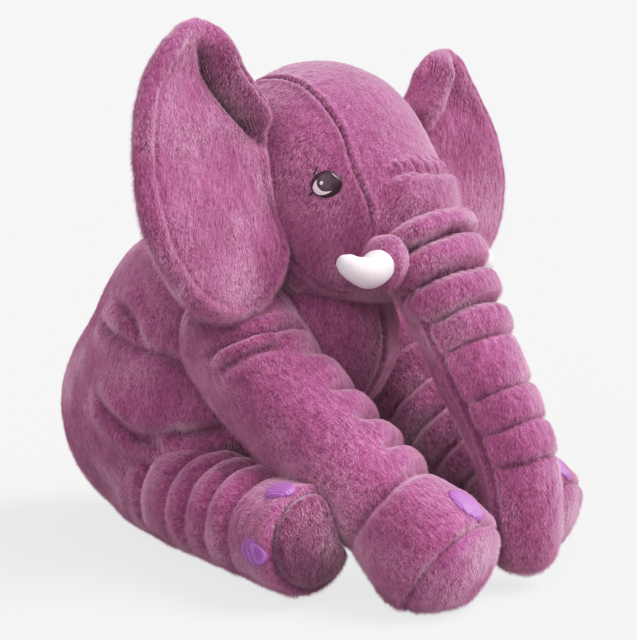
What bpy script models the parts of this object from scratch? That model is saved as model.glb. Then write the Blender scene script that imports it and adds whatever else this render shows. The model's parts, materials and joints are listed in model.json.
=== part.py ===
"""A stuffed elephant that sits with its legs stretched forward and its trunk hanging to the floor.

Metres, +Z up. The elephant faces -Y and its right side is at -X. The origin is on the floor under the
middle of the toy. Each fabric skin is an open shell around its own stuffing, and each limb is joined to
its neighbour by a round root that lies in a matching hollow, on the line where the real seam bends.
"""

import math

import bmesh
import bpy
from mathutils import Matrix, Vector

# Cloth and seams
SKIN = 0.003  # pile fabric with its backing
SEAM_GAP = 0.0003  # between pieces that touch
SLIVER = 0.000001  # shorter than this is no length at all
MOVING_GAP = 0.0015  # between pieces that turn against each other

# Torso: an egg, flat underneath, that leans forward as it rises
TORSO_Y = 0.099
TORSO_WAIST_Z = 0.100
TORSO_HALF_WIDTH = 0.116
TORSO_BACK = 0.150  # from the middle to the rump
TORSO_FRONT = 0.165  # from the middle to the chest
TORSO_RISE = 0.190
TORSO_DROP = 0.158
TORSO_LEAN = 0.14  # forward shift for each metre of height
FLANK_SEAM_Z = 0.150
FLANK_SEAM_TILT = math.radians(18)

# Head: a skull with a muzzle that carries the trunk
SKULL_CENTRE = Vector((0, -0.036, 0.316))
SKULL_HALF = Vector((0.098, 0.100, 0.107))
MUZZLE_CENTRE = Vector((0, -0.098, 0.282))
MUZZLE_HALF = Vector((0.072, 0.062, 0.062))
FOREHEAD_SEAM_Y = -0.145  # where the forehead seams are closest together
FOREHEAD_HALF_WIDTH = 0.037
FOREHEAD_FLARE = math.radians(24)  # how fast the seams spread toward the ears
EAR_SEAM_Y = -0.040
NECK = Vector((0, 0.020, 0.250))
NOD = math.radians(10)

# Trunk: (centre y, centre z, half width, half depth) from its root to its tip
TRUNK_UPPER = (
    (-0.145, 0.272, 0.040, 0.045),
    (-0.165, 0.235, 0.038, 0.044),
    (-0.187, 0.197, 0.036, 0.043),
)
TRUNK_LOWER = (
    (-0.187, 0.197, 0.029, 0.035),
    (-0.208, 0.157, 0.032, 0.040),
    (-0.227, 0.115, 0.030, 0.038),
    (-0.236, 0.075, 0.028, 0.035),
    (-0.236, 0.034, 0.027, 0.033),
)
TRUNK_LIFT = math.radians(18)
TRUNK_CURL = math.radians(25)

# Ears: outline of the right ear as (distance from the middle plane, height)
EAR_OUTLINE = (
    (0.173, 0.449), (0.203, 0.431), (0.223, 0.400), (0.229, 0.355),
    (0.223, 0.310), (0.207, 0.267), (0.180, 0.229), (0.150, 0.212),
    (0.128, 0.215), (0.113, 0.228), (0.106, 0.258), (0.104, 0.310),
    (0.104, 0.362), (0.106, 0.400), (0.122, 0.427), (0.146, 0.444),
)
EAR_MIDDLE = (0.160, 0.325)
EAR_Y = -0.053
EAR_THICKNESS = 0.014
EAR_CUP = 0.9  # depth of the hollow front per metre of reach, squared
EAR_HINGE_X = 0.100
EAR_TIP_X = 0.229
EAR_FLAP = math.radians(12)

# Legs: (distance along the leg, radius), then where each leg starts and which way it points
FRONT_LEG = ((0, 0.045), (0.05, 0.050), (0.10, 0.051), (0.15, 0.049), (0.185, 0.0475),
             (0.200, 0.051), (0.220, 0.051), (0.236, 0.047), (0.243, 0.041))
SHOULDER = Vector((0.088, -0.026, 0.184))
FRONT_FOOT = Vector((0.088, -0.228, 0.0370))
LEG_LIFT = math.radians(18)
HIND_LEG = ((0, 0.044), (0.06, 0.0445), (0.13, 0.0435), (0.185, 0.0425), (0.210, 0.042),
            (0.226, 0.040), (0.234, 0.0355))
HIP = Vector((0.082, 0.102, 0.0450))
HIND_FOOT = Vector((0.164, -0.118, 0.0430))
LEG_SPLAY = math.radians(15)
SOLE_THICKNESS = 0.006
SOLE_CROWN = 0.004
# from the middle of the sole's face to its back: shares of the radius, the thickness and the crown
SOLE_PROFILE = ((0, 1, 1), (0.55, 1, 0.7), (0.9, 0.8, 0), (1, 0.35, 0), (0.97, 0, 0), (0, 0, 0))
TOE_LENGTH = 0.030
TOE_WIDTH = 0.024
TOE_BACK_FROM_END = 0.026
PATCH_THICKNESS = 0.0012
PATCH_DEPTH = 0.02  # reach of the plug that a patch is cut from, before it is pared down
FRONT_TOE_ANGLES = (72, 128)  # degrees from the outer side, over the top
HIND_TOE_ANGLES = (75, 4)

# Face
EYE_CENTRE = Vector((0.0720, -0.100, 0.322))
EYE_LENGTH = 0.029
EYE_HEIGHT = 0.023
CHEEK_CENTRE = Vector((0.054, -0.138, 0.262))
CHEEK_HALF = Vector((0.018, 0.021, 0.025))
TUSK = ((0.058, -0.152, 0.256, 0.0125), (0.069, -0.152, 0.248, 0.0130),
        (0.081, -0.146, 0.249, 0.0125), (0.090, -0.138, 0.258, 0.0105))

# Tail: (y, z, radius) of the cord, then the tuft that ends it
TAIL_CORD = ((0.2405, 0.160, 0.0060), (0.2515, 0.137, 0.0060), (0.2575, 0.110, 0.0055),
             (0.2600, 0.085, 0.0050))
TAIL_TUFT = ((0.2605, 0.0765, 0.0050), (0.2615, 0.064, 0.0085), (0.2615, 0.050, 0.0090),
             (0.2615, 0.037, 0.0060))

# Fineness of the round shapes
BODY_SIDES, BODY_RINGS = 20, 12
MUZZLE_SIDES, MUZZLE_RINGS = 15, 9
CHEEK_SIDES, CHEEK_RINGS = 12, 8
EAR_SIDES, EAR_RINGS = 20, 8
LEG_SIDES = 14
TRUNK_SIDES = 14
EYE_SIDES = 14
TOE_SIDES = 12
SMALL_SIDES = 10
CORD_SIDES = 8
DOME_STEPS = 3
SMALL_DOME_STEPS = 2
CREASE_ANGLE = math.radians(40)  # sharper edges than this stay sharp

REACH = 0.6  # half the size of a box that splits a shell along a seam
EMPTY_SIZE = 0.02

ALONG_X = Vector((1, 0, 0))
ALONG_Z = Vector((0, 0, 1))
SIDES = {"right": -1, "left": 1}


def clear_scene():
    for obj in list(bpy.data.objects):
        bpy.data.objects.remove(obj, do_unlink=True)


def collection(name):
    made = bpy.data.collections.new(name)
    bpy.context.scene.collection.children.link(made)
    return made


def material(name, colour, roughness):
    made = bpy.data.materials.new(name)
    made.use_nodes = True
    shader = made.node_tree.nodes["Principled BSDF"]
    shader.inputs["Base Color"].default_value = (*colour, 1)
    shader.inputs["Roughness"].default_value = roughness
    shader.inputs["Metallic"].default_value = 0
    return made


def add_object(name, mesh, group, paint=None):
    obj = bpy.data.objects.new(name, mesh)
    group.objects.link(obj)
    if paint:
        obj.data.materials.append(paint)
    return obj


def helper(name, mesh, place=None):
    """A cutter or guide, which isn't part of the toy."""
    obj = add_object(name, mesh, HELPERS)
    obj.hide_render = True
    obj.display_type = "WIRE"
    obj.matrix_world = place or Matrix()
    return obj


def tidied(mesh):
    """Closes the hairline slits that a Boolean can leave between almost equal points."""
    work = bmesh.new()
    work.from_mesh(mesh)
    bmesh.ops.dissolve_degenerate(work, edges=work.edges, dist=SLIVER)
    bmesh.ops.triangulate(work, faces=work.faces)
    work.to_mesh(mesh)
    work.free()
    return finished(mesh)


def shaped_by(mesh, cutters, operation="DIFFERENCE", place=None):
    """The mesh after one Boolean for each cutter, given as (mesh, place), applied in turn."""
    work = helper(mesh.name, mesh, place)
    for shape, where in cutters:
        tool = helper(shape.name, shape, where)
        step = work.modifiers.new(operation.title(), "BOOLEAN")
        step.operation = operation
        step.solver = "EXACT"
        step.object = tool
        bpy.context.view_layer.update()
        graph = bpy.context.evaluated_depsgraph_get()
        work_mesh = bpy.data.meshes.new_from_object(work.evaluated_get(graph))
        work.modifiers.clear()
        work.data = tidied(work_mesh)
        bpy.data.objects.remove(tool)
    result = work.data
    bpy.data.objects.remove(work)
    return result


def finished(mesh):
    mesh.shade_smooth()
    mesh.set_sharp_from_angle(angle=CREASE_ANGLE)
    return mesh


def closed_mesh(name, work):
    """The work as a mesh that faces outward."""
    if work.calc_volume(signed=True) < 0:
        bmesh.ops.reverse_faces(work, faces=work.faces)
    mesh = bpy.data.meshes.new(name)
    work.to_mesh(mesh)
    work.free()
    return finished(mesh)


def shaped_sphere(name, sides, rings, shape):
    """A UV sphere whose unit points are moved by shape(point)."""
    work = bmesh.new()
    bmesh.ops.create_uvsphere(work, u_segments=sides, v_segments=rings, radius=1)
    for vertex in work.verts:
        vertex.co = shape(vertex.co.copy())
    return closed_mesh(name, work)


def ellipsoid(name, centre, half, sides=BODY_SIDES, rings=BODY_RINGS, grow=0.0):
    return shaped_sphere(
        name, sides, rings,
        lambda p: centre + Vector(p[i] * (half[i] + grow) for i in range(3)),
    )


def box(name, low, high):
    work = bmesh.new()
    bmesh.ops.create_cube(work, size=1)
    middle, size = (low + high) / 2, high - low
    for vertex in work.verts:
        vertex.co = middle + Vector(vertex.co[i] * size[i] for i in range(3))
    return closed_mesh(name, work)


def about(pivot, axis, angle):
    """The turn of a joint, as a matrix."""
    move = Matrix.Translation(pivot)
    return move @ Matrix.Rotation(angle, 4, axis) @ move.inverted()


def room(name, mesh, pivot, axis, angles):
    """The space a moving piece needs: the hull of its grown shape at several angles of its joint."""
    work = bmesh.new()
    for angle in angles:
        place = about(pivot, axis, angle)
        for vertex in mesh.vertices:
            work.verts.new(place @ vertex.co)
    hull = bmesh.ops.convex_hull(work, input=work.verts)
    spare = [item for item in hull["geom_interior"] if isinstance(item, bmesh.types.BMVert)]
    bmesh.ops.delete(work, geom=spare, context="VERTS")
    return closed_mesh(name, work), None


def joint_empty(name, pivot, parent=None):
    """An empty on a joint's axis, which carries the pieces of one body."""
    empty = bpy.data.objects.new(name, None)
    empty.empty_display_size = EMPTY_SIZE
    TOY.objects.link(empty)
    empty.location = pivot
    if parent:
        empty.parent = parent
        empty.location = Vector(pivot) - parent.matrix_world.translation
    bpy.context.view_layer.update()
    return empty


def piece(name, mesh, body, paint, place=None):
    """One named piece of the toy, carried by the empty of its body."""
    obj = add_object(name, mesh, TOY, paint)
    if place:
        obj.matrix_world = place
        bpy.context.view_layer.update()
    world = obj.matrix_world.copy()
    obj.parent = body
    obj.matrix_world = world
    return obj


# ---------------------------------------------------------------- volumes


def torso_egg(name, grow=0.0):
    def shape(p):
        height = (TORSO_RISE if p.z > 0 else TORSO_DROP) + grow
        z = TORSO_WAIST_Z + p.z * height
        y = TORSO_Y - (z - TORSO_WAIST_Z) * TORSO_LEAN
        length = (TORSO_BACK if p.y > 0 else TORSO_FRONT) + grow
        return Vector((p.x * (TORSO_HALF_WIDTH + grow), y + p.y * length, max(z, -grow)))

    return shaped_sphere(name, BODY_SIDES, BODY_RINGS, shape)


def head_solid(name, grow=0.0):
    """Skull and muzzle in one."""
    skull = ellipsoid(name, SKULL_CENTRE, SKULL_HALF, BODY_SIDES, BODY_RINGS, grow)
    muzzle = ellipsoid(
        f"{name}_muzzle", MUZZLE_CENTRE, MUZZLE_HALF, MUZZLE_SIDES, MUZZLE_RINGS, grow
    )
    return shaped_by(skull, [(muzzle, None)], "UNION")


def tube(name, stations, grow=0.0, sides=TRUNK_SIDES, dome=DOME_STEPS):
    """A closed soft tube with round ends. Each station is (centre, half width in X, half depth)."""
    centres = [centre for centre, _, _ in stations]
    last = len(stations) - 1
    ways = [
        (centres[min(i + 1, last)] - centres[max(i - 1, 0)]).normalized()
        for i in range(len(centres))
    ]

    def dome_rings(end, turn):
        centre, wide, deep = stations[end]
        pole = ways[end] * turn * (deep + grow)
        arc = [math.pi / 2 * k / dome for k in range(1, dome + 1)]
        return [
            (centre + pole * math.sin(a), end, (wide + grow) * math.cos(a), (deep + grow) * math.cos(a))
            for a in arc
        ]

    rings = dome_rings(0, -1)[::-1]
    rings += [
        (centre, i, wide + grow, deep + grow) for i, (centre, wide, deep) in enumerate(stations)
    ]
    rings += dome_rings(last, 1)

    def shape(p):
        ring = rings[round(math.acos(max(-1, min(1, -p.z))) / math.pi * (len(rings) - 1))]
        centre, station, wide, deep = ring
        across = Vector((p.x, p.y))
        across = across.normalized() if across.length > SLIVER else Vector((0, 0))
        side = ALONG_X
        if abs(ways[station].x) > SLIVER:
            side = ways[station].cross(ALONG_Z).normalized()
        front = side.cross(ways[station])
        return centre + side * across.x * wide + front * across.y * deep

    return shaped_sphere(name, sides, len(rings) - 1, shape)


def trunk_stations(rows):
    return [(Vector((0, y, z)), wide, deep) for y, z, wide, deep in rows]


def leg_outline(rows, grow=0.0):
    """(radius, distance) down the outside of a leg, from its sole to the pole of its round root."""
    wall = [(radius + grow, along) for along, radius in reversed(rows)]
    root = rows[0][1] + grow
    arc = [math.pi / 2 * k / DOME_STEPS for k in range(1, DOME_STEPS)]
    return wall + [(root * math.cos(a), -root * math.sin(a)) for a in arc] + [(0, -root)]


def turned(name, profile):
    """A (radius, height) profile, turned about Z. It runs down the outer side."""
    work = bmesh.new()
    line = [work.verts.new((radius, 0, height)) for radius, height in profile]
    for first, second in zip(line, line[1:]):
        work.edges.new((first, second))
    mesh = bpy.data.meshes.new(name)
    work.to_mesh(mesh)
    work.free()
    guide = bpy.data.objects.new(name, mesh)
    HELPERS.objects.link(guide)
    screw = guide.modifiers.new("Screw", "SCREW")
    screw.axis = "Z"
    screw.angle = math.tau
    screw.steps = screw.render_steps = LEG_SIDES
    screw.use_merge_vertices = True
    screw.merge_threshold = 0.0001
    bpy.context.view_layer.update()
    graph = bpy.context.evaluated_depsgraph_get()
    solid = bpy.data.meshes.new_from_object(guide.evaluated_get(graph))
    bpy.data.objects.remove(guide)
    return finished(solid)


def leg_solid(name, rows, grow=0.0):
    length, radius = rows[-1]
    end = length + SOLE_THICKNESS + SOLE_CROWN + grow
    return turned(name, [(0, end), (radius + grow, end)] + leg_outline(rows, grow))


def leg_place(start, end, side):
    """Puts a leg's Z axis from its root to its foot, with its Y axis on the upper side."""
    start = Vector((start.x * side, start.y, start.z))
    end = Vector((end.x * side, end.y, end.z))
    way = (end - start).normalized()
    up = (ALONG_Z - way * way.z).normalized()
    turn = Matrix((up.cross(way), up, way)).transposed().to_4x4()
    return Matrix.Translation(start) @ turn


# ---------------------------------------------------------------- pieces


def half_space(name, side, place):
    """Everything on one side of a plane: side is 1 above the plane of place, -1 below it."""
    low = Vector((-REACH, -REACH, SEAM_GAP / 2 if side > 0 else -REACH))
    high = Vector((REACH, REACH, REACH if side > 0 else -SEAM_GAP / 2))
    return box(name, low, high), place


def make_torso(body, rooms):
    """Back and belly panels around one stuffing, with hollows for the head and the legs."""
    cavity = torso_egg("torso_cavity", -SKIN)
    shell = shaped_by(torso_egg("torso_shell"), [(cavity, None)] + rooms)
    place = Matrix.Translation((0, TORSO_Y, FLANK_SEAM_Z))
    place = place @ Matrix.Rotation(FLANK_SEAM_TILT, 4, "X")
    for name, side in (("torso_back_panel", 1), ("torso_belly_panel", -1)):
        piece(name, shaped_by(shell, [half_space(name, side, place)], "INTERSECT"), body, PLUSH)
    filling = torso_egg("torso_stuffing", -SKIN - SEAM_GAP)
    piece("torso_stuffing", shaped_by(filling, rooms), body, FIBRE)


def make_head(body, rooms):
    """Forehead, back and two side panels around one stuffing."""
    cavity = head_solid("head_cavity", -SKIN)
    shell = shaped_by(head_solid("head_shell"), [(cavity, None)] + rooms)
    across = Matrix.Rotation(math.radians(90), 4, "Y")
    seams = []
    for side in SIDES.values():
        seam = Matrix.Translation((FOREHEAD_HALF_WIDTH * side, FOREHEAD_SEAM_Y, 0))
        seam = seam @ Matrix.Rotation(-FOREHEAD_FLARE * side, 4, "Z")
        seams.append(seam @ across if side > 0 else seam @ across.inverted())
    behind = Matrix.Translation((0, EAR_SEAM_Y, 0)) @ Matrix.Rotation(math.radians(-90), 4, "X")
    front = shaped_by(shell, [half_space("head_front", -1, behind)], "INTERSECT")
    back = shaped_by(shell, [half_space("head_back", 1, behind)], "INTERSECT")
    piece("head_back_panel", back, body, PLUSH)
    middle = shaped_by(front, [half_space("middle", -1, seam) for seam in seams], "INTERSECT")
    mouth = Matrix.Translation(MUZZLE_CENTRE)
    for name, side in (("forehead_panel", 1), ("chin_panel", -1)):
        piece(name, shaped_by(middle, [half_space(name, side, mouth)], "INTERSECT"), body, PLUSH)
    for side_name, seam in zip(SIDES, seams):
        name = f"cheek_panel_{side_name}"
        side_panel = shaped_by(front, [half_space(name, 1, seam)], "INTERSECT")
        piece(name, side_panel, body, PLUSH)
    filling = head_solid("head_stuffing", -SKIN - SEAM_GAP)
    piece("head_stuffing", shaped_by(filling, rooms), body, FIBRE)


def make_trunk_part(name, rows, body, rooms):
    """Front and back panels of one length of the trunk, sewn along its sides, around their stuffing."""
    stations = trunk_stations(rows)
    cavity = tube(f"{name}_cavity", stations, -SKIN)
    shell = shaped_by(tube(f"{name}_shell", stations), [(cavity, None)] + rooms)
    first, last = stations[0][0], stations[-1][0]
    way = first - last
    place = Matrix.Translation((first + last) / 2)
    place = place @ Matrix.Rotation(math.atan2(way.z, way.y), 4, "X")
    for panel, side in (("front", 1), ("back", -1)):
        panel = f"{name}_{panel}_panel"
        cut = shaped_by(shell, [half_space(panel, side, place)], "INTERSECT")
        piece(panel, cut, body, PLUSH)
    filling = tube(f"{name}_stuffing", stations, -SKIN - SEAM_GAP)
    piece(f"{name}_stuffing", shaped_by(filling, rooms), body, FIBRE)


def ear_reach(angle):
    """Distance from the ear's middle to its outline at an angle, between the outline's points."""
    corners = sorted(
        (math.atan2(z - EAR_MIDDLE[1], x - EAR_MIDDLE[0]),
         math.hypot(x - EAR_MIDDLE[0], z - EAR_MIDDLE[1]))
        for x, z in EAR_OUTLINE
    )
    corners = ([(a - math.tau, r) for a, r in corners[-1:]] + corners
               + [(a + math.tau, r) for a, r in corners[:1]])
    for (a, near), (b, far) in zip(corners, corners[1:]):
        if a <= angle <= b:
            return near + (far - near) * (angle - a) / (b - a)
    return corners[0][1]


def ear_panel(name, side, facing):
    """Half of the padded ear. facing is -1 for the front panel and 1 for the back one."""
    def shape(p):
        round_the_rim = math.atan2(p.y, p.x)
        spread = math.hypot(p.x, p.y)
        reach = ear_reach(round_the_rim) * spread
        x = EAR_MIDDLE[0] + reach * math.cos(round_the_rim)
        z = EAR_MIDDLE[1] + reach * math.sin(round_the_rim)
        thick = max(p.z, 0) * EAR_THICKNESS / 2 + SEAM_GAP / 2
        cup = EAR_CUP * (x - EAR_HINGE_X) * (EAR_TIP_X - x)
        return Vector((x * side, EAR_Y + cup + facing * thick, z))

    return shaped_sphere(name, EAR_SIDES, EAR_RINGS, shape)


def make_ear(side_name, body):
    """Front and back panels, cut to the curve of the head at each end of the flap."""
    side = SIDES[side_name]
    pivot = Vector((EAR_HINGE_X * side, EAR_Y, EAR_MIDDLE[1]))
    head = head_solid("head_grown", MOVING_GAP)
    rooms = [room(f"ear_{side_name}_room", head, pivot, ALONG_Z, (0, -EAR_FLAP, EAR_FLAP))]
    for panel, facing in (("front", -1), ("back", 1)):
        name = f"ear_{side_name}_{panel}_panel"
        piece(name, shaped_by(ear_panel(name, side, facing), rooms), body, PLUSH)


def disc(name, place, sides=TOE_SIDES):
    """A short round plug of unit radius and length 2, moved by place."""
    work = bmesh.new()
    bmesh.ops.create_cone(work, cap_ends=True, segments=sides, radius1=1, radius2=1, depth=2)
    for vertex in work.verts:
        vertex.co = place(vertex.co.copy())
    return closed_mesh(name, work)


def leg_patch(name, rows, angle_deg, place, body):
    """A toe patch that lies on the leg's surface, near its sole."""
    angle = math.radians(angle_deg)
    along = rows[-1][0] - TOE_BACK_FROM_END
    outward = Vector((math.cos(angle), math.sin(angle), 0))
    across = Vector((-math.sin(angle), math.cos(angle), 0))

    def plug(p):
        return (outward * (PATCH_DEPTH * p.z + rows[-1][1]) + across * p.x * TOE_WIDTH / 2
                + ALONG_Z * (along + p.y * TOE_LENGTH / 2))

    patch = disc(name, plug)
    outside = leg_solid(f"{name}_outside", rows, PATCH_THICKNESS + SEAM_GAP)
    inside = leg_solid(f"{name}_inside", rows, SEAM_GAP)
    patch = shaped_by(patch, [(outside, None)], "INTERSECT")
    piece(name, shaped_by(patch, [(inside, None)]), body, TOE, place)


def make_leg(name, rows, place, body, toe_angles, side):
    """A sleeve that is open at the foot, its stuffing, the sole that closes it and the toe patches."""
    length, sole_radius = rows[-1]
    outside = leg_outline(rows)
    inside = leg_outline(rows, -SKIN)
    sleeve = turned(f"{name}_sleeve", inside[::-1] + outside)
    piece(f"{name}_sleeve", sleeve, body, PLUSH, place)
    core = leg_outline(rows, -SKIN - SEAM_GAP)
    core = [(0, length), (core[0][0], length)] + core[1:]
    piece(f"{name}_stuffing", turned(f"{name}_stuffing", core), body, FIBRE, place)
    under = length + SEAM_GAP
    pad = [
        (sole_radius * out, under + SOLE_THICKNESS * thick + SOLE_CROWN * crown)
        for out, thick, crown in SOLE_PROFILE
    ]
    piece(f"{name}_sole", turned(f"{name}_sole", pad), body, PLUSH, place)
    for toe, angle in enumerate(toe_angles, 1):
        leg_patch(f"{name}_toe_{toe}", rows, angle if side > 0 else 180 - angle, place, body)


def make_eye(name, side, body):
    """A flat embroidered patch on the curve of the skull."""
    centre = Vector((EYE_CENTRE.x * side, EYE_CENTRE.y, EYE_CENTRE.z))
    outward = (centre - SKULL_CENTRE).normalized()
    along = ALONG_Z.cross(outward).normalized()
    up = outward.cross(along)

    def plug(p):
        return (centre + along * p.x * EYE_LENGTH / 2 + up * p.y * EYE_HEIGHT / 2
                + outward * p.z * PATCH_DEPTH)

    grow = SEAM_GAP + PATCH_THICKNESS
    outside = ellipsoid(f"{name}_outside", SKULL_CENTRE, SKULL_HALF, grow=grow)
    inside = ellipsoid(f"{name}_inside", SKULL_CENTRE, SKULL_HALF, grow=SEAM_GAP)
    patch = shaped_by(disc(name, plug, EYE_SIDES), [(outside, None)], "INTERSECT")
    piece(name, shaped_by(patch, [(inside, None)]), body, EYE)


def make_cheek_and_tusk(side_name, body, rooms):
    """A padded cheek on the muzzle, and the stuffed tusk that comes out of it."""
    side = SIDES[side_name]
    centre = Vector((CHEEK_CENTRE.x * side, CHEEK_CENTRE.y, CHEEK_CENTRE.z))
    head = (head_solid(f"cheek_{side_name}_room", SEAM_GAP), None)
    name = f"cheek_{side_name}"
    fineness = CHEEK_SIDES, CHEEK_RINGS
    cheek = shaped_by(ellipsoid(name, centre, CHEEK_HALF, *fineness), [head] + rooms)
    piece(name, cheek, body, PLUSH)
    name = f"tusk_{side_name}"
    stations = [(Vector((x * side, y, z)), r, r) for x, y, z, r in TUSK]
    cheek_room = (ellipsoid(f"{name}_room", centre, CHEEK_HALF, *fineness, SEAM_GAP), None)
    tusk = shaped_by(tube(name, stations, sides=SMALL_SIDES), [cheek_room, head] + rooms)
    piece(name, tusk, body, TUSK_CLOTH)


def make_tail(body):
    """A cord that hangs from the rump, and its tuft."""
    cord = [(Vector((0, y, z)), r, r) for y, z, r in TAIL_CORD]
    tuft = [(Vector((0, y, z)), r, r) for y, z, r in TAIL_TUFT]
    piece("tail_cord", tube("tail_cord", cord, 0, CORD_SIDES, SMALL_DOME_STEPS), body, PLUSH)
    cord_room = tube("tail_cord_room", cord, SEAM_GAP, CORD_SIDES, SMALL_DOME_STEPS)
    end = tube("tail_tuft", tuft, 0, SMALL_SIDES, SMALL_DOME_STEPS)
    piece("tail_tuft", shaped_by(end, [(cord_room, None)]), body, PLUSH)


def main():
    trunk_root = Vector((0, *TRUNK_UPPER[0][:2]))
    trunk_bend = Vector((0, *TRUNK_LOWER[0][:2]))
    torso = joint_empty("body_torso", Vector((0, TORSO_Y, 0)))
    head = joint_empty("body_head", NECK, torso)
    trunk_upper = joint_empty("body_trunk_upper", trunk_root, head)
    trunk_lower = joint_empty("body_trunk_lower", trunk_bend, trunk_upper)

    upper = tube("trunk_upper_grown", trunk_stations(TRUNK_UPPER), MOVING_GAP)
    upper_room = room("trunk_root_room", upper, trunk_root, ALONG_X, (-TRUNK_LIFT, 0))
    lower = tube("trunk_lower_grown", trunk_stations(TRUNK_LOWER[:3]), MOVING_GAP)
    lower_room = room("trunk_bend_room", lower, trunk_bend, ALONG_X, (-TRUNK_CURL, 0))
    skull = head_solid("head_grown", MOVING_GAP)
    torso_rooms = [room("neck_room", skull, NECK, ALONG_X, (-NOD, -NOD / 2, 0))]

    for side_name, side in SIDES.items():
        front = leg_place(SHOULDER, FRONT_FOOT, side)
        hind = leg_place(HIP, HIND_FOOT, side)
        shoulder, hip = front.translation, hind.translation
        front_solid = leg_solid("front_leg_grown", FRONT_LEG, MOVING_GAP)
        front_solid.transform(front)
        hind_solid = leg_solid("hind_leg_grown", HIND_LEG, MOVING_GAP)
        hind_solid.transform(hind)
        torso_rooms += [
            room(f"shoulder_room_{side_name}", front_solid, shoulder, ALONG_X, (-LEG_LIFT, 0)),
            room(f"hip_room_{side_name}", hind_solid, hip, ALONG_Z, (0, LEG_SPLAY * side)),
        ]
        body = joint_empty(f"body_front_leg_{side_name}", shoulder, torso)
        make_leg(f"front_leg_{side_name}", FRONT_LEG, front, body, FRONT_TOE_ANGLES, side)
        body = joint_empty(f"body_hind_leg_{side_name}", hip, torso)
        make_leg(f"hind_leg_{side_name}", HIND_LEG, hind, body, HIND_TOE_ANGLES, side)
        hinge = Vector((EAR_HINGE_X * side, EAR_Y, EAR_MIDDLE[1]))
        make_ear(side_name, joint_empty(f"body_ear_{side_name}", hinge, head))
        make_eye(f"eye_{side_name}", side, head)
        make_cheek_and_tusk(side_name, head, [upper_room])

    make_torso(torso, torso_rooms)
    make_head(head, [upper_room])
    make_trunk_part("trunk_upper", TRUNK_UPPER, trunk_upper, [lower_room])
    make_trunk_part("trunk_lower", TRUNK_LOWER, trunk_lower, [])
    make_tail(joint_empty("body_tail", Vector((0, *TAIL_CORD[0][:2])), torso))


clear_scene()
TOY = collection("stuffed_elephant")
HELPERS = collection("helpers")
PLUSH = material("plush", (0.36, 0.14, 0.26), 0.9)
FIBRE = material("stuffing_fibre", (0.85, 0.85, 0.83), 0.95)
TUSK_CLOTH = material("tusk_cloth", (0.83, 0.75, 0.77), 0.7)
TOE = material("toe_cloth", (0.36, 0.14, 0.44), 0.6)
EYE = material("eye_thread", (0.05, 0.03, 0.05), 0.5)
main()
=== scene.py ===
import json
import math

import bpy
import numpy as np
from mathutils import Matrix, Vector

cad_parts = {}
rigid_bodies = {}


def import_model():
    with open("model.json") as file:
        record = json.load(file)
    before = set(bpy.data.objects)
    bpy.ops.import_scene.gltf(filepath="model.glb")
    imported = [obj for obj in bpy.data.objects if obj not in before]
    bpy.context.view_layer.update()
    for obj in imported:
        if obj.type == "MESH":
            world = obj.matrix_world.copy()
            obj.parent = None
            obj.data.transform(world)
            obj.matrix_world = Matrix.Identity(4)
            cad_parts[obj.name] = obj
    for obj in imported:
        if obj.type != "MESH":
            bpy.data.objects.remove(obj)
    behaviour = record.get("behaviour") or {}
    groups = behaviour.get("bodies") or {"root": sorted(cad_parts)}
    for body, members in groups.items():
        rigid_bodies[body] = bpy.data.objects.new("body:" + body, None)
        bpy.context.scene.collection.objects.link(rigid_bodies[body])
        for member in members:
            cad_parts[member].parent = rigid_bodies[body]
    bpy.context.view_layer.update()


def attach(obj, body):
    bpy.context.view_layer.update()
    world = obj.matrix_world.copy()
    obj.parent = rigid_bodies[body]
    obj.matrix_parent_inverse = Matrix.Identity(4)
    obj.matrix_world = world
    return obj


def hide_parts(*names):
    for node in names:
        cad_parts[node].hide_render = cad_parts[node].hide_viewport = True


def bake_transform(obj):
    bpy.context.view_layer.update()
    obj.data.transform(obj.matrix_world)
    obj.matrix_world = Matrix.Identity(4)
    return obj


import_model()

AMBIENT = 0.36
BACKDROP = 0.922
STITCH = 0.007  # from one pulled-in stitch to the next
STITCH_PULL = 0.45
SEAM_FADE = 0.01  # length over which a seam starts and ends
CAMERA_AZIMUTH = math.radians(53)
CAMERA_DISTANCE = 1.25  # along the floor, from what it looks at
CAMERA_RISE = 0.119
CAMERA_LENS = 1450 / 640 * 36
SIDES = {"right": -1.0, "left": 1.0}
V = np.array


# ------------------------------------------------------------------ numbers


def noise(p, scale, seed=0):
    """Smooth value noise from -1 to 1 at points p, with features about 1/scale metres apart."""
    q = p * scale + seed * 17.31
    cell = np.floor(q).astype(np.int64)
    f = q - cell
    f = f * f * (3 - 2 * f)
    total = np.zeros(len(p))
    for corner in range(8):
        d = V([corner & 1, corner >> 1 & 1, corner >> 2 & 1])
        c = cell + d
        h = c[:, 0] * 374761393 + c[:, 1] * 668265263 + c[:, 2] * 2147483647 + seed * 974711
        h = (h ^ (h >> 13)) * 1274126177
        h = (h ^ (h >> 16)) & 0xFFFF
        total += h / 32767.5 * np.prod(np.where(d, f, 1 - f), axis=1)
    return total - 1


def fractal(p, scale, seed=0, octaves=3):
    total = np.zeros(len(p))
    for o in range(octaves):
        total += noise(p, scale * 2.03**o, seed + o) / 2**o
    return total / 1.75


def smoothstep(a, b, x):
    t = np.clip((x - a) / (b - a), 0, 1)
    return t * t * (3 - 2 * t)


def bump(x, width):
    return np.exp(-((x / width) ** 2))


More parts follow.
